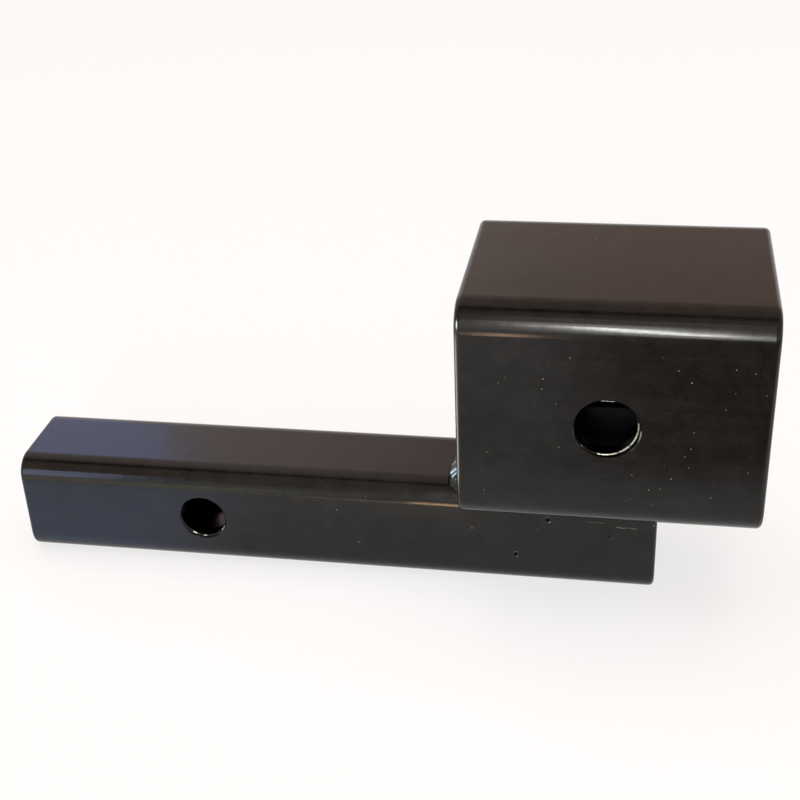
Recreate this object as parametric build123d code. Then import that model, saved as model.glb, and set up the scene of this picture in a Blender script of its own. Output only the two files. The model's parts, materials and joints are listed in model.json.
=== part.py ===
from build123d import *
import os
from math import sqrt

# Hitch receiver adapter with a raised receiver tube. All sizes are in millimetres.
# The shank is a square steel tube that slides into a small hitch receiver and is held by a pin.
# A short length of larger square tube lies on top of the shank's outer end, square to it and
# open at both ends, and takes a larger shank and its pin.
# Fillet welds cross the shank at both ends of that seat, and a weld runs along each side of it,
# in the groove between the shank's rounded edge and the flat underside of the receiver tube.
#
# The origin is the middle of the shank's pin hole. +X runs along the shank towards the open
# mouth of the receiver tube, +Y points to the side away from the viewer, and +Z points up.

# Shank: cold-formed square tube
shank_width = 31.75
shank_wall = 4.76
shank_corner_radius = 6.2
shank_inner_corner_radius = 1.5
shank_length = 186.5
shank_tip_edge_radius = 1.0
shank_butt_edge_radius = 1.5
shank_pin_radius = 6.75
shank_pin_from_tip = 55.4

# Receiver tube: heavier square tube, with a socket for the larger shank
receiver_width = 63.5
receiver_wall = 6.35
receiver_corner_radius = 7.6
receiver_inner_corner_radius = 1.3
receiver_length = 79.7
receiver_edge_radius = 1.6
receiver_mouth_chamfer = 1.0
receiver_pin_radius = 8.33
receiver_pin_from_mouth = 40.8
receiver_pin_height = 30.7

# Length of the shank that lies under the receiver tube
seat_length = 53.3

# Both pin holes have their outer edges broken
hole_edge_break = 0.4

# Welds: each bead has a step at every ripple, and is rounded off at its ends.
# A cross weld's leg is its reach along each of the two faces that it joins. A side weld reaches
# out along the receiver tube's underside and down the shank's side.
front_weld_leg = 5.7
front_weld_round_off = 7.5
rear_weld_leg = 4.0
rear_weld_round_off = 3.0
fillet_fullness = 1.05
side_weld_reach = 1.4
side_weld_leg = 4.6
side_weld_radius = 6.0
side_weld_depth = 4.1
side_weld_round_off = 5.0
ripple_pitch = 4.2
ripple_depth = 0.22
bead_end_share = 0.3

# Places that follow from the sizes above
shank_tip_x = -shank_pin_from_tip
shank_butt_x = shank_tip_x + shank_length
seat_z = shank_width / 2
receiver_inner_end_x = shank_butt_x - seat_length
receiver_mouth_x = receiver_inner_end_x + receiver_length
receiver_axis_z = seat_z + receiver_width / 2
receiver_pin_x = receiver_mouth_x - receiver_pin_from_mouth
receiver_pin_z = seat_z + receiver_pin_height


def square_bar(width, corner_radius, start_x, end_x, axis_z):
    """Bar with rounded edges along X, centred on Y = 0 and Z = axis_z."""
    section = Pos(0, 0, axis_z) * (Plane.YZ * RectangleRounded(width, width, corner_radius))
    return Pos(start_x, 0, 0) * extrude(section, amount=end_x - start_x)


def end_loop(solid, end):
    """Outer edges of a tube's end face: end 0 is the low X end, -1 the high X end."""
    return solid.faces().sort_by(Axis.X)[end].outer_wire().edges()


def inner_loop(solid, end):
    """Edges round the opening in a tube's end face."""
    return solid.faces().sort_by(Axis.X)[end].inner_wires()[0].edges()


def drill_across(tube, width, radius, x, z):
    """Drills a pin hole through both side walls and breaks its two outer edges."""
    hole = Pos(x, 0, z) * Rot(90, 0, 0) * Cylinder(radius, 2 * width)
    drilled = tube - hole
    rims = [
        edge
        for edge in drilled.edges().filter_by(GeomType.CIRCLE)
        if abs(edge.radius - radius) < 1e-6 and abs(abs(edge.center().Y) - width / 2) < 1e-3
    ]
    return chamfer(rims, hole_edge_break)


def shank_outside():
    """The shank's outer form with no hollow: the welds are cut back to it."""
    bar = square_bar(shank_width, shank_corner_radius, shank_tip_x, shank_butt_x, 0)
    bar = fillet(end_loop(bar, 0), shank_tip_edge_radius)
    return fillet(end_loop(bar, -1), shank_butt_edge_radius)


def receiver_outside():
    """The receiver tube's outer form with no hollow."""
    bar = square_bar(
        receiver_width,
        receiver_corner_radius,
        receiver_inner_end_x,
        receiver_mouth_x,
        receiver_axis_z,
    )
    bar = fillet(end_loop(bar, 0), receiver_edge_radius)
    return fillet(end_loop(bar, -1), receiver_edge_radius)


def make_shank_tube():
    hollow_width = shank_width - 2 * shank_wall
    hollow = square_bar(
        hollow_width, shank_inner_corner_radius, shank_tip_x, shank_butt_x, 0
    )
    tube = shank_outside() - hollow
    return drill_across(tube, shank_width, shank_pin_radius, 0, 0)


def make_receiver_tube():
    socket_width = receiver_width - 2 * receiver_wall
    socket = square_bar(
        socket_width,
        receiver_inner_corner_radius,
        receiver_inner_end_x,
        receiver_mouth_x,
        receiver_axis_z,
    )
    tube = receiver_outside() - socket
    tube = chamfer(inner_loop(tube, -1), receiver_mouth_chamfer)
    return drill_across(
        tube, receiver_width, receiver_pin_radius, receiver_pin_x, receiver_pin_z
    )


def turned_bead(length, radius, round_off):
    """Rippled rod along X with its middle at the origin: the tubes are then cut out of it.

    Each ripple grows in the direction of welding and ends in a small step down to the next.
    """
    ripples = max(2, round(length / ripple_pitch))
    outline = [(-length / 2, 0)]
    for i in range(ripples):
        for share, valley in ((i / ripples, ripple_depth), ((i + 1) / ripples, 0)):
            x = length * (share - 0.5)
            into_end = max(0, abs(x) - length / 2 + round_off) / round_off
            swell = radius * sqrt(1 - (1 - bead_end_share**2) * into_end**2)
            outline.append((x, swell - valley))
    outline.append((length / 2, 0))
    return revolve(make_face(Polyline(*outline, close=True)), Axis.X)


def outside_the_tubes(bead):
    """What is left of a bead where neither tube is, so that it lies against both of them."""
    return bead - shank_outside() - receiver_outside()


def bead_centre(first_toe, second_toe, radius):
    """Centre of a bead's circle through both its toes, left of the way from first to second."""
    across = second_toe[0] - first_toe[0]
    up = second_toe[1] - first_toe[1]
    back = sqrt(radius**2 / (across**2 + up**2) - 1 / 4)
    return (
        (first_toe[0] + second_toe[0]) / 2 - back * up,
        (first_toe[1] + second_toe[1]) / 2 + back * across,
    )


def make_cross_weld(corner_x, leg, length, round_off, side_x, side_z):
    """Fillet weld across the shank in the corner at corner_x.

    The open side of the corner is towards side_x and side_z, which are 1 or -1.
    """
    radius = fillet_fullness * leg
    toe_on_end_face = (corner_x, seat_z + side_z * leg)
    toe_on_flat = (corner_x + side_x * leg, seat_z)
    x, z = bead_centre(toe_on_end_face, toe_on_flat, radius)
    bead = turned_bead(length, radius, round_off)
    return outside_the_tubes(Pos(x, 0, z) * Rot(0, 0, 90 * side_x) * bead)


def make_near_side_weld():
    """Groove weld along the near side of the seat.

    It fills the groove between the shank's rounded edge and the receiver tube's flat underside
    to side_weld_depth behind the shank's side face, where the groove is nearly closed.
    """
    start_x = receiver_inner_end_x + receiver_edge_radius
    end_x = shank_butt_x - shank_butt_edge_radius
    toe_on_underside = (-shank_width / 2 - side_weld_reach, seat_z)
    toe_on_side = (-shank_width / 2, seat_z - side_weld_leg)
    y, z = bead_centre(toe_on_underside, toe_on_side, side_weld_radius)
    bead = turned_bead(end_x - start_x, side_weld_radius, side_weld_round_off)
    bead = outside_the_tubes(Pos((start_x + end_x) / 2, y, z) * bead)
    unfilled = Box(shank_length, shank_width - 2 * side_weld_depth, shank_width)
    return bead - Pos(start_x, 0, seat_z) * unfilled


# The front weld runs down round both of the shank's rounded edges. The rear one keeps to its flat.
front_weld = make_cross_weld(
    receiver_inner_end_x, front_weld_leg, shank_width, front_weld_round_off, -1, 1
)
rear_weld = make_cross_weld(
    shank_butt_x,
    rear_weld_leg,
    shank_width - 2 * shank_corner_radius,
    rear_weld_round_off,
    1,
    -1,
)
side_weld = make_near_side_weld()

# The side welds run up against the ends of the front weld, and are alike on both sides.
pieces = {
    "shank_tube": make_shank_tube(),
    "receiver_tube": make_receiver_tube(),
    "front_weld": front_weld,
    "rear_weld": rear_weld,
    "near_side_weld": side_weld - front_weld,
    "far_side_weld": mirror(side_weld, about=Plane.XZ) - front_weld,
}

os.makedirs("parts", exist_ok=True)
for name, solid in pieces.items():
    export_step(solid, f"parts/{name}.step")
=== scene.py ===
import json
import math
import random

import bpy
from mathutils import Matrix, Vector


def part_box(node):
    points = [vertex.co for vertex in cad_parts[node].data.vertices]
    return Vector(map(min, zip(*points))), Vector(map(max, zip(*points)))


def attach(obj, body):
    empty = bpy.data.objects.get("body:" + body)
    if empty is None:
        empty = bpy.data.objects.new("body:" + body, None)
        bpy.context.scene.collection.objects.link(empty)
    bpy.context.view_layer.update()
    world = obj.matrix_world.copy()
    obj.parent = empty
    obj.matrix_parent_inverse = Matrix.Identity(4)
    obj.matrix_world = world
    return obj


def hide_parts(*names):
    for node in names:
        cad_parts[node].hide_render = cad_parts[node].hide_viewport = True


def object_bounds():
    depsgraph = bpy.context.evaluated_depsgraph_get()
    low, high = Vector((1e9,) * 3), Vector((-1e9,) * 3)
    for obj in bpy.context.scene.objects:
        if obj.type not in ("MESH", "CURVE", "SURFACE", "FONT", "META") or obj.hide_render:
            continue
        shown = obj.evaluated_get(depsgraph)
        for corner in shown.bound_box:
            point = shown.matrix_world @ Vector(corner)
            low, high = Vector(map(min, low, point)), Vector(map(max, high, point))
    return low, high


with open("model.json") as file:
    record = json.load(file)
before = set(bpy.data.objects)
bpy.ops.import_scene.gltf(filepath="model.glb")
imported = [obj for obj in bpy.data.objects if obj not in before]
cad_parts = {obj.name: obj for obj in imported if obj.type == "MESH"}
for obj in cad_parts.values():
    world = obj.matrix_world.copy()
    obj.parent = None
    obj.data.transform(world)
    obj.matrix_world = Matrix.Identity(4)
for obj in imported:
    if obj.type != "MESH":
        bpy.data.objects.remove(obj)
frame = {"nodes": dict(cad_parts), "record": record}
cad_low, cad_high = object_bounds()

# Camera
# The photograph's viewpoint: close in front of the raised tube, looking down and to the left.
camera_data = bpy.data.cameras.new("camera")
camera_data.lens = 61.8
camera_data.sensor_width = 36
camera = bpy.data.objects.new("camera", camera_data)
camera.location = (0.1233, -0.3348, 0.2250)
camera.rotation_euler = (math.radians(60.79), 0, math.radians(11.12))
camera.rotation_euler.rotate_axis("Z", math.radians(-2.61))
bpy.context.scene.collection.objects.link(camera)
bpy.context.scene.camera = camera


# Shank tube
# A cold-formed square steel tube, open at both ends, with a pin hole drilled across it.
# It is sprayed with one thick coat of gloss black paint, which dries with a faint orange peel
# and traps dust, and popped bubbles leave a few pits in its side. Each pit gets painted shade and
# a painted highlight beside it, and its hollow and its pin hole's bore get painted shade too.

class Value:
    """A node's output. A sum, difference or product with it adds a Math node."""

    def __init__(self, socket):
        self.socket = socket

    def maths(self, operation, first, second=0.0):
        tree = self.socket.id_data
        return add_node(tree, "ShaderNodeMath", {"operation": operation}, {0: first, 1: second})

    def __add__(self, other):
        return self.maths("ADD", self, other)

    def __sub__(self, other):
        return self.maths("SUBTRACT", self, other)

    def __mul__(self, other):
        return self.maths("MULTIPLY", self, other)

    def __rsub__(self, other):
        return self.maths("SUBTRACT", other, self)

    __radd__ = __add__
    __rmul__ = __mul__

    def larger(self, other):
        return self.maths("MAXIMUM", self, other)

    def size(self):
        return self.maths("ABSOLUTE", self)

    def sine(self):
        return self.maths("SINE", self)

    def rise(self, start, end):
        """0 up to start and 1 from end on, with a soft step between them."""
        return add_node(
            self.socket.id_data,
            "ShaderNodeMapRange",
            {"interpolation_type": "SMOOTHSTEP"},
            {"Value": self, "From Min": start, "From Max": end},
        )


def add_node(tree, kind, settings, sockets, output=0):
    """Adds a node, with its settings first, then the values or links of its sockets."""
    node = tree.nodes.new(kind)
    for name, setting in settings.items():
        setattr(node, name, setting)
    for name, value in sockets.items():
        if isinstance(value, Value):
            tree.links.new(value.socket, node.inputs[name])
        else:
            node.inputs[name].default_value = value
    return Value(node.outputs[output])


def mix_colours(tree, share, first, second):
    """Colour that goes from the first to the second as share goes from 0 to 1."""
    first, second = ((*c, 1) if isinstance(c, tuple) else c for c in (first, second))
    return add_node(
        tree,
        "ShaderNodeMix",
        {"data_type": "RGBA"},
        {0: share, 6: first, 7: second},
        output=2,
    )


def place_in_mm(tree, stretch=(1, 1, 1)):
    """Place on the object in millimetres, in the frame's axes, each stretched by its factor."""
    place = add_node(tree, "ShaderNodeTexCoord", {}, {}, output="Object")
    factors = tuple(1000 * factor for factor in stretch)
    return add_node(tree, "ShaderNodeVectorMath", {"operation": "MULTIPLY"}, {0: place, 1: factors})


def noise(tree, place, wavelength, detail=0.0):
    """Cloudy value about 0.5, with humps about one wavelength apart in millimetres."""
    return add_node(
        tree,
        "ShaderNodeTexNoise",
        {},
        {"Vector": place, "Scale": 1 / wavelength, "Detail": detail},
    )


def distance_to(tree, place, point):
    """Distance in millimetres from a point, which is given in millimetres."""
    return add_node(
        tree,
        "ShaderNodeVectorMath",
        {"operation": "DISTANCE"},
        {0: place, 1: point},
        output="Value",
    )


def dust(tree, place, spacing, radius):
    """Sparse dots where a cell's middle happens to lie on the surface."""
    nearest = add_node(
        tree,
        "ShaderNodeTexVoronoi",
        {},
        {"Vector": place, "Scale": 1 / spacing},
        output="Distance",
    )
    return 1 - (nearest * spacing).rise(radius * 0.6, radius)


paint_ior = 1.35
dark_paint = (0.0025, 0.0025, 0.0023)
light_paint = (0.0095, 0.0096, 0.0088)
dust_and_glint_grey = (0.17, 0.16, 0.145)
pit_painted_shade = (0.002, 0.002, 0.002)
hollow_painted_shade = (0.0008, 0.0008, 0.0008)
paint_roughness = 0.15
scratch_waves = 2.1
scratch_fade = 0.6


def make_paint(name, specks=(), pits=(), scratches=(), hollow=None, hole=None):
    """Gloss black paint, with painted shade that darkens the tube's hollow and its pin hole's bore.

    The hollow is its width and the height of its axis. The hole is its x, z and radius. A speck
    or a pit is its place and radius. A scratch is its first and last x, its z, how far it sways
    and its width. All places and sizes are in millimetres.
    """
    material = bpy.data.materials.new(name)
    material.use_nodes = True
    tree = material.node_tree
    shader = tree.nodes["Principled BSDF"]
    place = place_in_mm(tree)

    drift = noise(tree, place, 30, detail=3)
    haze = noise(tree, place, 5, detail=4)
    grain = noise(tree, place, 0.9, detail=2)
    rolled = noise(tree, place_in_mm(tree, (0.02, 1, 1)), 1.6, detail=2)
    orange_peel = noise(tree, place, 1.7, detail=2)
    split = {axis: add_node(tree, "ShaderNodeSeparateXYZ", {}, {0: place}, axis) for axis in "XYZ"}

    marks_and_painted_glints = dust(tree, place, 5.5, 0.14) * drift.rise(0.40, 0.52)
    for x, y, z, radius in specks:
        dot = 1 - distance_to(tree, place, (x, y, z)).rise(radius * 0.5, radius)
        marks_and_painted_glints = marks_and_painted_glints.larger(dot)

    height = orange_peel * 0.010 + drift * 0.15 + rolled * 0.008 + marks_and_painted_glints * 0.05
    dips = None
    for x, y, z, radius in pits:
        away = distance_to(tree, place, (x, y, z))
        dip = 1 - away.rise(radius * 0.35, radius * 0.6)
        lip = away.rise(radius * 0.5, radius * 0.7) * (1 - away.rise(radius * 0.75, radius))
        height = height + lip * 0.10 - dip * 0.25
        dips = dip if dips is None else dips.larger(dip)
        # Painted highlight: a light dot below and to the right of each pit, in the dust's grey.
        glint = distance_to(tree, place, (x + radius * 0.4, y, z - radius * 0.6))
        marks_and_painted_glints = marks_and_painted_glints.larger(1 - glint.rise(radius * 0.1, radius * 0.3))

    for x0, x1, z, sway, width in scratches:
        line = split["Z"] - z - (split["X"] * scratch_waves).sine() * sway
        starts = split["X"].rise(x0, x0 + scratch_fade)
        within = starts * (1 - split["X"].rise(x1 - scratch_fade, x1))
        stroke = (1 - line.size().rise(width * 0.4, width)) * within
        marks_and_painted_glints = marks_and_painted_glints.larger(stroke * haze.rise(0.35, 0.6))

    mottle = (drift * 0.5 + haze * 0.8 + grain * 0.7 + rolled * 0.5).rise(0.75, 1.75)
    paint = mix_colours(tree, mottle, dark_paint, light_paint)
    colour = mix_colours(tree, marks_and_painted_glints, paint, dust_and_glint_grey)
    roughness = paint_roughness + (haze - 0.5) * 0.08 + marks_and_painted_glints * 0.4

    # Painted shade: the pits, and below them the hollow and the bore, are coloured near black. The
    # pits and the bore take a black metal's reflection, so they hardly shine.
    shineless = dips
    if dips is not None:
        colour = mix_colours(tree, dips, colour, pit_painted_shade)
    if hollow:
        width, axis_z = hollow
        to_edge = split["Y"].size().larger((split["Z"] - axis_z).size())
        inside = 1 - to_edge.rise(width / 2 + 0.5, width / 2 + 1.5)
        hole_x, hole_z, hole_radius = hole
        across = add_node(tree, "ShaderNodeCombineXYZ", {}, {"X": split["X"], "Z": split["Z"]})
        from_hole = distance_to(tree, across, (hole_x, 0, hole_z))
        bore = 1 - from_hole.rise(hole_radius + 0.05, hole_radius + 0.15)
        # Painted shade: the hollow and the bore are coloured near black.
        colour = mix_colours(tree, inside.larger(bore), colour, hollow_painted_shade)
        shineless = bore * 0.8 if shineless is None else shineless.larger(bore * 0.8)
    if shineless is not None:
        tree.links.new(shineless.socket, shader.inputs["Metallic"])

    bump = add_node(tree, "ShaderNodeBump", {}, {"Height": height, "Distance": 0.001}, "Normal")
    tree.links.new(colour.socket, shader.inputs["Base Color"])
    tree.links.new(roughness.socket, shader.inputs["Roughness"])
    tree.links.new(bump.socket, shader.inputs["Normal"])
    shader.inputs["IOR"].default_value = paint_ior
    return material


def paint_node(node, material):
    """Gives a CAD node's object its material in every slot."""
    slots = frame["nodes"][node].data.materials
    slots.clear()
    slots.append(material)


shank_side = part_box("shank_tube")[0].y * 1000
shank_specks = [
    (79.7, shank_side, 2.8, 0.25),
    (40.7, shank_side, 6.0, 0.20),
    (46.6, shank_side, -4.7, 0.20),
    (37.7, shank_side, 0.2, 0.18),
    (130.2, shank_side, 7.4, 0.30),
]
shank_pits = [
    (101.1, shank_side, 7.2, 1.2),
    (92.1, shank_side, -5.2, 1.1),
    (98.3, shank_side, 4.2, 0.6),
    (118.3, shank_side, 2.8, 0.6),
]
shank_scratches = [
    (119.6, 126.0, 6.1, 0.09, 0.13),
    (110.5, 117.0, 7.3, 0.05, 0.06),
]
mounts = {mount["name"]: mount for mount in frame["record"]["mounts"]}


def hole_of(mount_name):
    """Place of a pin hole's middle along X and Z, and its radius, in millimetres."""
    mount = mounts[mount_name]
    return mount["pos_m"][0] * 1000, mount["pos_m"][2] * 1000, mount["dims"]["r_mm"]


shank_hollow = (22.23, 0.0)
shank_paint = make_paint(
    "shank_paint",
    shank_specks,
    shank_pits,
    shank_scratches,
    shank_hollow,
    hole_of("shank_pin_hole"),
)
paint_node("shank_tube", shank_paint)


# Receiver tube
# A heavier square steel tube, square to the shank and lying on its flat top. It is open at both
# ends, and takes a larger shank and its pin. It has the same paint, with more trapped dust.
receiver_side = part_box("receiver_tube")[0].y * 1000
receiver_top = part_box("receiver_tube")[1].z * 1000
receiver_specks = [
    (100.4, receiver_side, 60.4, 0.24),
    (100.2, receiver_side, 57.5, 0.18),
    (107.0, receiver_side, 66.7, 0.20),
    (133.6, receiver_side, 64.4, 0.20),
    (136.9, receiver_side, 61.2, 0.26),
    (147.3, receiver_side, 65.4, 0.20),
    (151.9, receiver_side, 64.5, 0.20),
    (155.0, receiver_side, 58.6, 0.16),
    (145.6, receiver_side, 54.1, 0.16),
    (138.3, receiver_side, 47.1, 0.20),
    (137.8, receiver_side, 42.3, 0.18),
    (136.5, receiver_side, 39.9, 0.20),
    (137.7, receiver_side, 36.7, 0.17),
    (133.4, receiver_side, 33.1, 0.24),
    (128.0, receiver_side, 29.3, 0.22),
    (130.8, receiver_side, 29.8, 0.18),
    (123.5, receiver_side, 33.6, 0.18),
    (152.3, receiver_side, 36.2, 0.16),
    (143.7, receiver_side, 28.0, 0.20),
    (104.7, receiver_side, 40.8, 0.20),
    (103.7, receiver_side, 53.4, 0.17),
    (85.2, receiver_side, 26.3, 0.18),
    (86.1, receiver_side, 38.1, 0.18),
    (89.1, receiver_side, 58.7, 0.18),
    (111.0, 14.1, receiver_top, 0.22),
    (115.7, 11.0, receiver_top, 0.20),
]
receiver_axis_z = sum(corner.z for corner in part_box("receiver_tube")) / 2 * 1000
receiver_hollow = (50.8, receiver_axis_z)
receiver_paint = make_paint(
    "receiver_paint",
    receiver_specks,
    hollow=receiver_hollow,
    hole=hole_of("receiver_pin_hole"),
)
paint_node("receiver_tube", receiver_paint)


# Paint round the pin holes
# The sprayed paint draws back from the sharp edge of each drilled hole and dries as a thin bead
# round it, with thicker lumps and a sag where it ran. It is chipped off in places, down to steel.
bead_radius = 0.00026
edge_paint = (0.006, 0.006, 0.0056)
bare_steel = (0.56, 0.55, 0.48)


def add_paint_bead(x, y, z, radius, lumps):
    """Ring in the broken edge of a pin hole, in metres.

    A lump is an angle in degrees round from +X towards +Z, its reach into the hole and its spread.
    """
    into_tube = 1 if y < 0 else -1
    inwards = 1.04 * bead_radius * into_tube
    bpy.ops.object.select_all(action="DESELECT")
    bpy.ops.mesh.primitive_torus_add(
        major_segments=144,
        minor_segments=12,
        major_radius=radius + bead_radius,
        minor_radius=bead_radius,
        location=(x, y + inwards, z),
        rotation=(math.pi / 2, 0, 0),
    )
    bpy.ops.object.transform_apply()
    ring = bpy.context.object
    for angle, reach, spread in lumps:
        angle = math.radians(angle)
        out = Vector((math.cos(angle), 0, math.sin(angle)))
        middle = Vector((x, y, z)) + out * radius
        for vertex in ring.data.vertices:
            vertex.select = (vertex.co - middle).length < 1.6 * bead_radius
        bpy.ops.object.mode_set(mode="EDIT")
        bpy.ops.transform.translate(
            value=-reach * out + Vector((0, 0.6 * reach * into_tube, 0)),
            use_proportional_edit=True,
            proportional_edit_falloff="SMOOTH",
            proportional_size=spread,
        )
        bpy.ops.mesh.select_all(action="DESELECT")
        bpy.ops.object.mode_set(mode="OBJECT")
    return ring


def make_chipped_paint(name, hole, chips):
    """Gloss black paint on a hole's edge, with bare steel from angle to angle at each chip."""
    material = bpy.data.materials.new(name)
    material.use_nodes = True
    tree = material.node_tree
    shader = tree.nodes["Principled BSDF"]
    place = place_in_mm(tree)
    split = {axis: add_node(tree, "ShaderNodeSeparateXYZ", {}, {0: place}, axis) for axis in "XYZ"}
    hole_x, hole_z, _ = hole
    angle = split["Z"].maths("ARCTAN2", split["Z"] - hole_z, split["X"] - hole_x)
    angle = angle * math.degrees(1)
    patchy = noise(tree, place, 0.8, detail=2)
    steel = patchy.rise(0.66, 0.72) * 0.5
    for first, last, share in chips:
        within = angle.rise(first, first + 4) * (1 - angle.rise(last - 4, last))
        steel = steel.larger(within * patchy.rise(0.62 - 0.35 * share, 0.68 - 0.3 * share))
    near = (0 - split["Y"]).rise(0, 1)
    steel = steel * near
    colour = mix_colours(tree, steel, edge_paint, bare_steel)
    tree.links.new(colour.socket, shader.inputs["Base Color"])
    tree.links.new(steel.socket, shader.inputs["Metallic"])
    roughness = 0.16 + steel * 0.12
    tree.links.new(roughness.socket, shader.inputs["Roughness"])
    bump = add_node(
        tree, "ShaderNodeBump", {}, {"Height": patchy * 0.05, "Distance": 0.001}, "Normal"
    )
    tree.links.new(bump.socket, shader.inputs["Normal"])
    shader.inputs["IOR"].default_value = paint_ior
    return material


def join_pieces(name, parts, material):
    """Joins meshes into one smooth piece, painted and riding on the part."""
    bpy.ops.object.select_all(action="DESELECT")
    for part in parts:
        part.select_set(True)
    bpy.context.view_layer.objects.active = parts[0]
    bpy.ops.object.join()
    piece = bpy.context.object
    piece.name = name
    piece.data.materials.clear()
    piece.data.materials.append(material)
    bpy.ops.object.shade_smooth()
    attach(piece, "root")
    return piece


hole_edges = {
    "shank_pin_hole": {
        "tube": "shank_tube",
        "lumps": [
            (-95, 0.0006, 0.0022),
            (-120, 0.0004, 0.0012),
            (-62, 0.0003, 0.0010),
            (20, 0.0001, 0.0008),
        ],
        "chips": [(-126, -112, 0.9), (-100, -84, 0.3), (-40, -20, 0.2)],
    },
    "receiver_pin_hole": {
        "tube": "receiver_tube",
        "lumps": [
            (-52, 0.0010, 0.0014),
            (-42, 0.0005, 0.0006),
            (-48, 0.0003, 0.0005),
            (-58, 0.0004, 0.0005),
            (-66, 0.0006, 0.0008),
            (-74, 0.0003, 0.0005),
            (-85, 0.0002, 0.0020),
            (-160, 0.0002, 0.0005),
            (-152, 0.0002, 0.0004),
            (95, 0.0001, 0.0030),
        ],
        "chips": [
            (-108, -66, 1.0),
            (-66, -38, 0.8),
            (-38, 16, 0.9),
            (84, 96, 0.3),
            (-176, -136, 0.5),
        ],
    },
}
for mount_name, edge in hole_edges.items():
    x, z, radius = (value / 1000 for value in hole_of(mount_name))
    near_y, far_y = (corner.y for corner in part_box(edge["tube"]))
    near_ring = add_paint_bead(x, near_y, z, radius, edge["lumps"])
    far_ring = add_paint_bead(x, far_y, z, radius, [(-80, 0.0004, 0.0015)])
    chipped_paint = make_chipped_paint(mount_name + "_chipped", hole_of(mount_name), edge["chips"])
    join_pieces(mount_name + "_edge", [near_ring, far_ring], chipped_paint)


# Welds
# Fillet welds of melted steel across both ends of the seat and along its two sides. Each bead is
# laid in one pass, a ripple at a time, is fused into both tubes and is painted over with them.
sunk = 0.00012


def add_core(node, corner_radius, end_radius):
    """Solid of a tube's outer form, slightly smaller, to cut a bead back to the tube."""
    low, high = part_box(node)
    size = high - low - Vector((2 * sunk, 2 * sunk, 2 * sunk))
    bpy.ops.object.select_all(action="DESELECT")
    bpy.ops.mesh.primitive_cube_add(size=1, location=(low + high) / 2, scale=size)
    bpy.ops.object.transform_apply()
    core = bpy.context.object
    for radius, along_x in ((corner_radius, True), (end_radius, False)):
        for edge in core.data.edges:
            first, second = (core.data.vertices[i].co for i in edge.vertices)
            run = second - first
            lies_across = abs(run.x) < 1e-6
            from_middle = abs(first.x - (low.x + high.x) / 2)
            at_end = lies_across and abs(from_middle - size.x / 2) < 1e-6
            edge.select = abs(run.x) > size.x / 2 if along_x else at_end
        bpy.ops.object.mode_set(mode="EDIT")
        bpy.ops.mesh.select_mode(type="EDGE")
        bpy.ops.mesh.bevel(offset=radius, segments=10 if along_x else 5)
        bpy.ops.mesh.select_all(action="DESELECT")
        bpy.ops.object.mode_set(mode="OBJECT")
    return core


def cut_away(bead, core):
    """Takes the core's solid out of the bead."""
    bpy.context.view_layer.objects.active = bead
    cut = bead.modifiers.new("cut", "BOOLEAN")
    cut.operation = "DIFFERENCE"
    cut.solver = "EXACT"
    cut.object = core
    bpy.ops.object.modifier_apply(modifier=cut.name)


ripple_pitch = 0.0020
ripple_profile = ((0.2, 0.94), (0.5, 0.985), (0.8, 1.0), (0.95, 0.975))
step_reach = 0.00016
end_share = 0.3
full_width_at = 0.75


def add_weld_bead(start, end, face, radius, round_off, seed, first_share=1.0):
    """Rod with crescent ripples, laid from start to end, with its face towards the given way.

    It starts at a share of its full width, and reaches it at full_width_at of the way along.
    """
    draws = random.Random(seed)
    start = Vector(start)
    run = (Vector(end) - start).length
    forward = (Vector(end) - start) / run
    face = Vector(face).normalized()
    ripples = round(run / ripple_pitch)
    bpy.ops.object.select_all(action="DESELECT")
    bpy.ops.mesh.primitive_circle_add(
        vertices=56,
        radius=radius * end_share,
        location=start,
        rotation=forward.to_track_quat("Z", "Y").to_euler(),
    )
    bpy.ops.object.transform_apply()
    bead = bpy.context.object
    for vertex in bead.data.vertices:
        vertex.select = (vertex.co - start).normalized().dot(face) > 0.98
    bpy.ops.object.mode_set(mode="EDIT")
    bpy.ops.mesh.select_mode(type="VERT")
    bpy.ops.transform.translate(
        value=forward * radius * end_share * 0.35,
        use_proportional_edit=True,
        proportional_size=radius * end_share * 1.5,
    )
    bpy.ops.mesh.select_all(action="SELECT")
    centre = start.copy()
    width = radius * end_share
    wander = Vector((0, 0, 0))
    for ripple in range(ripples):
        swell = 1 + draws.uniform(-0.05, 0.0)
        swell *= first_share + (1 - first_share) * min(1.0, ripple / ripples / full_width_at)
        step_aside = Vector([draws.uniform(-1, 1) for _ in range(3)]) * step_reach
        step_aside -= step_aside.dot(forward) * forward
        for share, height in ripple_profile:
            gone = (ripple + share) / ripples
            into_end = max(0.0, abs(gone - 0.5) * run - run / 2 + round_off) / round_off
            new_width = radius * swell * height * math.sqrt(1 - (1 - end_share**2) * into_end**2)
            target = start + forward * gone * run + wander + step_aside * share
            bpy.ops.mesh.extrude_region_move(TRANSFORM_OT_translate={"value": target - centre})
            centre = target
            bpy.ops.transform.resize(value=(new_width / width,) * 3, center_override=centre)
            width = new_width
        wander = (wander + step_aside) * 0.7
    bpy.ops.mesh.select_all(action="SELECT")
    bpy.ops.mesh.fill_holes(sides=0)
    bpy.ops.mesh.normals_make_consistent(inside=False)
    bpy.ops.object.mode_set(mode="OBJECT")
    return bead


shank_corner_radius = 0.0062
receiver_corner_radius = 0.0076
receiver_edge_radius = 0.0016
shank_edge_radius = 0.0015
shank_low, shank_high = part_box("shank_tube")
receiver_low, receiver_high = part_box("receiver_tube")
seat_z = receiver_low.z

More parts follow.
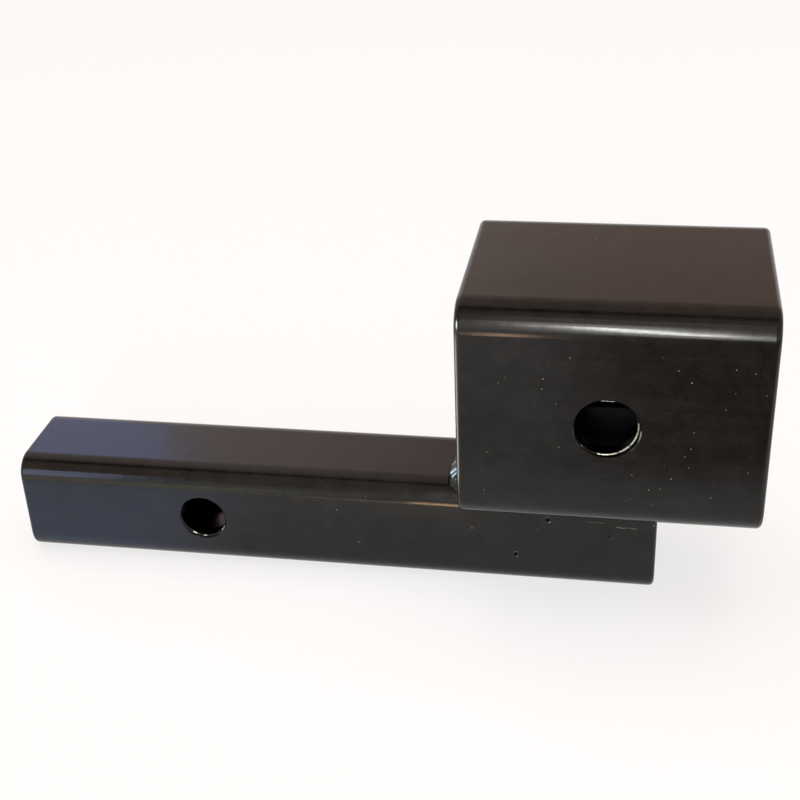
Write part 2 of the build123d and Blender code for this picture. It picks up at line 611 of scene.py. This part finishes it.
# Each bead's circle passes through its two toes, as in the frame, so that its middle lies inside
# the corner by a share of its leg.
bead_fullness = 1.045
bead_inset = 0.05
front_low, front_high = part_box("front_weld")
front_leg = receiver_low.x - front_low.x
front_radius = bead_fullness * front_leg
front_middle_x = receiver_low.x + bead_inset * front_leg
front_middle_z = seat_z - bead_inset * front_leg
rear_low, rear_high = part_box("rear_weld")
rear_leg = rear_high.x - shank_high.x
rear_radius = bead_fullness * rear_leg
rear_middle_x = shank_high.x - bead_inset * rear_leg
rear_middle_z = seat_z + bead_inset * rear_leg
side_radius = 0.00595
side_middle_y = shank_high.y - 0.00456
side_middle_z = seat_z - 0.0007
side_start_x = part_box("near_side_weld")[0].x - 0.0010
side_end_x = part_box("near_side_weld")[1].x
end_gap = 0.0004

weld_paint = make_paint("weld_paint")
beads = {
    "front_weld": add_weld_bead(
        (front_middle_x, front_high.y - end_gap, front_middle_z),
        (front_middle_x, front_low.y + 3 * end_gap, front_middle_z),
        (-1, 0, 1),
        front_radius,
        0.0060,
        seed=3,
        first_share=0.8,
    ),
    "rear_weld": add_weld_bead(
        (rear_middle_x, rear_low.y + end_gap, rear_middle_z),
        (rear_middle_x, rear_high.y - end_gap, rear_middle_z),
        (1, 0, -1),
        rear_radius,
        0.0030,
        seed=5,
    ),
    "near_side_weld": add_weld_bead(
        (side_start_x, -side_middle_y, side_middle_z),
        (side_end_x, -side_middle_y, side_middle_z),
        (0, -1, -0.3),
        side_radius,
        0.0050,
        seed=7,
    ),
    "far_side_weld": add_weld_bead(
        (side_start_x, side_middle_y, side_middle_z),
        (side_end_x, side_middle_y, side_middle_z),
        (0, 1, -0.3),
        side_radius,
        0.0050,
        seed=11,
    ),
}
cores = [
    add_core("shank_tube", shank_corner_radius - sunk, shank_edge_radius),
    add_core("receiver_tube", receiver_corner_radius - sunk, receiver_edge_radius),
]
for node, bead in beads.items():
    for core in cores:
        cut_away(bead, core)
    piece = join_pieces(node + "_bead", [bead], weld_paint)
    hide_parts(node)
for core in cores:
    bpy.data.objects.remove(core)


# Studio
# A wide white floor, a pale soft surrounding and a few soft lamps. It isn't part of the object.
floor_size = 8
floor_grey = (0.8, 0.8, 0.8, 1)
floor_glow_share = 0.72
bpy.ops.mesh.primitive_plane_add(size=floor_size, location=(0, 0, cad_low.z))
floor = bpy.context.object
floor.name = "floor"
floor_paint = bpy.data.materials.new("floor_white")
floor_paint.use_nodes = True
tree = floor_paint.node_tree
tree.nodes.clear()
rays = {
    kind: add_node(tree, "ShaderNodeLightPath", {}, {}, kind)
    for kind in ("Is Camera Ray", "Is Glossy Ray", "Is Transmission Ray")
}
seen = rays["Is Camera Ray"].larger(rays["Is Glossy Ray"]).larger(rays["Is Transmission Ray"])
matt = add_node(tree, "ShaderNodeBsdfDiffuse", {}, {"Color": floor_grey})
glow = add_node(tree, "ShaderNodeEmission", {}, {"Color": (1, 1, 1, 1), "Strength": 1.0})
floor_look = add_node(tree, "ShaderNodeMixShader", {}, {0: seen * floor_glow_share, 1: matt, 2: glow})
surface = tree.nodes.new("ShaderNodeOutputMaterial")
tree.links.new(floor_look.socket, surface.inputs["Surface"])
floor.data.materials.append(floor_paint)

# The surrounding is white low down and dim and warm above that, with a dark beam overhead.
world = bpy.data.worlds.new("studio")
world.use_nodes = True
bpy.context.scene.world = world
tree = world.node_tree
direction = add_node(tree, "ShaderNodeTexCoord", {}, {}, "Generated")
split = {axis: add_node(tree, "ShaderNodeSeparateXYZ", {}, {0: direction}, axis) for axis in "XYZ"}
low = (1.0, 1.0, 1.0)
warm = (0.64, 0.45, 0.36)
warm_left = (1.15, 0.95, 0.90)
left_behind = (0 - split["X"]).rise(-0.02, 0.34) * split["Y"].rise(-0.1, 0.3)
wall = mix_colours(tree, left_behind, warm, warm_left)
above = mix_colours(tree, split["Z"].rise(0.16, 0.34), low, wall)
forwards = 0 - split["Y"]
beam = split["Z"].rise(0.8, 0.9) * forwards.rise(0.0, 0.06) * (1 - forwards.rise(0.22, 0.36))
dark_beam = (0.02, 0.02, 0.02)
overhead = mix_colours(tree, beam, above, dark_beam)
tree.links.new(overhead.socket, tree.nodes["Background"].inputs["Color"])
tree.nodes["Background"].inputs["Strength"].default_value = 1


def add_softbox(name, target, turn, rise, distance, width, height, colour, radiance, tilt=0.0):
    """Area lamp that faces the target. Its angles and spans are in degrees as seen from there.

    A turn of 0 puts it in front of the object and a positive turn moves it to the right.
    """
    turn = math.radians(turn)
    rise = math.radians(rise)
    outwards = Vector(
        (math.sin(turn) * math.cos(rise), -math.cos(turn) * math.cos(rise), math.sin(rise))
    )
    lamp_data = bpy.data.lights.new(name, "AREA")
    lamp_data.shape = "RECTANGLE"
    lamp_data.size = 2 * distance * math.tan(math.radians(width / 2))
    lamp_data.size_y = 2 * distance * math.tan(math.radians(height / 2))
    lamp_data.energy = radiance * math.pi * lamp_data.size * lamp_data.size_y
    lamp_data.color = colour
    lamp = bpy.data.objects.new(name, lamp_data)
    lamp.location = Vector(target) + distance * outwards
    lamp.rotation_euler = outwards.to_track_quat("Z", "Y").to_euler()
    lamp.rotation_euler.rotate_axis("Z", math.radians(tilt))
    lamp.visible_camera = False
    bpy.context.scene.collection.objects.link(lamp)
    return lamp


bend = (0.117, -0.030, 0.076)
shank_end = (-0.040, 0.0, 0.012)
weld_end = (0.074, -0.012, 0.020)
shank_bend = (0.066, -0.0158, 0.008)
shank_middle = (0.008, -0.0158, 0.008)
add_softbox("strip_lamp", bend, 0.7, 15.5, 1.2, 2.8, 17, (1.0, 1.0, 0.98), 66, tilt=20)
add_softbox("strip_halo", bend, 1.0, 16.5, 1.22, 10, 36, (1.0, 0.99, 0.95), 6.0, tilt=12)
add_softbox("strip_glow", bend, 0.0, 27, 1.25, 17, 56, (1.0, 0.97, 0.90), 0.9)
small_lamps = [
    add_softbox("low_warm_lamp", bend, -12, -20, 0.26, 5, 10, (1.0, 0.60, 0.35), 14),
    add_softbox("cool_lamp_left", shank_end, -27, 12, 0.9, 12, 28, (0.55, 0.66, 1.0), 4.6),
    add_softbox("cool_lamp_behind", shank_end, -152, 30, 0.9, 13, 26, (0.12, 0.35, 1.0), 1.2),
]

# Two narrow beams skim the lower edge of the shank's bend, and miss the receiver tube above.
edge_lamps = [
    add_softbox("low_orange_lamp", shank_bend, 3, -21, 0.05, 31, 6, (1.0, 0.58, 0.30), 1.3),
    add_softbox("long_edge_lamp", shank_middle, 3, -24, 0.04, 114, 4, (1.0, 0.80, 0.62), 0.7),
]
for lamp in edge_lamps:
    lamp.data.spread = math.radians(36)

# A pale blue window stands to the left, and lights up the end of the front weld alone.
window_lamp = add_softbox("window_lamp", weld_end, -84, 18, 0.6, 46, 40, (0.64, 0.82, 1.0), 24)
window_lit = bpy.data.collections.new("window_lit")
window_lit.objects.link(bpy.data.objects["front_weld_bead"])
window_lamp.light_linking.receiver_collection = window_lit

# Two more light up the left end of the receiver tube alone: its upright edge and its top corner.
left_edge = (0.0775, -0.0312, 0.048)
left_corner = (0.0780, -0.0290, 0.074)
left_lamps = [
    add_softbox("left_edge_lamp", left_edge, -84, -29, 0.06, 56, 40, (1.0, 0.92, 0.74), 0.65),
    add_softbox("left_corner_lamp", left_corner, -55, 4, 0.06, 30, 30, (1.0, 1.0, 1.0), 2.2),
]
for lamp, spread in zip(left_lamps, (50, 36)):
    lamp.data.spread = math.radians(spread)
left_lit = bpy.data.collections.new("left_lit")
left_lit.objects.link(frame["nodes"]["receiver_tube"])
for lamp in left_lamps:
    lamp.light_linking.receiver_collection = left_lit

for lamp in [*small_lamps, *edge_lamps, window_lamp, *left_lamps]:
    lamp.visible_diffuse = False
overhead_lamp = add_softbox("overhead_lamp", (0.05, 0, 0.03), 0, 88, 2.0, 45, 45, (1, 1, 1), 3.0)
overhead_lamp.visible_glossy = False


def add_card(name, low, high, colour, share_at):
    """Soft-edged card on the floor out of the picture, in millimetres. Only reflections show it."""
    size = Vector(high) - Vector(low)
    middle = (Vector(high) + Vector(low)) / 2
    bpy.ops.mesh.primitive_plane_add(
        size=1, location=(middle.x / 1000, middle.y / 1000, cad_low.z + 0.0005)
    )
    card = bpy.context.object
    bpy.ops.transform.resize(value=(size.x / 1000, size.y / 1000, 1))
    bpy.ops.object.transform_apply()
    card.name = name
    look = bpy.data.materials.new(name + "_look")
    look.use_nodes = True
    tree = look.node_tree
    tree.nodes.clear()
    place = place_in_mm(tree)
    across = add_node(tree, "ShaderNodeSeparateXYZ", {}, {0: place}, "X")
    nearer = 0 - add_node(tree, "ShaderNodeSeparateXYZ", {}, {0: place}, "Y")
    clear = add_node(tree, "ShaderNodeBsdfTransparent", {}, {})
    glow = add_node(tree, "ShaderNodeEmission", {}, {"Color": (*colour, 1)})
    mixed = add_node(
        tree, "ShaderNodeMixShader", {}, {0: share_at(across, nearer), 1: clear, 2: glow}
    )
    surface = tree.nodes.new("ShaderNodeOutputMaterial")
    tree.links.new(mixed.socket, surface.inputs["Surface"])
    card.data.materials.append(look)
    card.visible_camera = False
    card.visible_diffuse = False
    card.visible_shadow = False


def dark_share(across, nearer):
    """Solid to the right and further out, and faint in the middle of the left."""
    right = across.rise(64, 140) * nearer.rise(92, 122)
    left = nearer.rise(96, 125) * (1 - nearer.rise(138, 185)) * 0.28
    return right.larger(left) * 0.92


def cool_share(across, nearer):
    """Solid close to the shank's left end, fading out towards its pin hole."""
    return (1 - across.rise(-32, 18)) * nearer.rise(14, 20) * (1 - nearer.rise(48, 62))


def pale_share(across, nearer):
    """Solid further out on the left."""
    return (1 - across.rise(-30, 20)) * nearer.rise(60, 75)


add_card("dark_card", (20, -1000), (950, -80), (0.16, 0.08, 0.055), dark_share)
add_card("cool_card", (-160, -70), (30, -12), (1.40, 1.62, 2.25), cool_share)
add_card("pale_card", (-300, -320), (30, -55), (1.9, 1.75, 1.45), pale_share)

bpy.context.scene.view_settings.view_transform = "Standard"
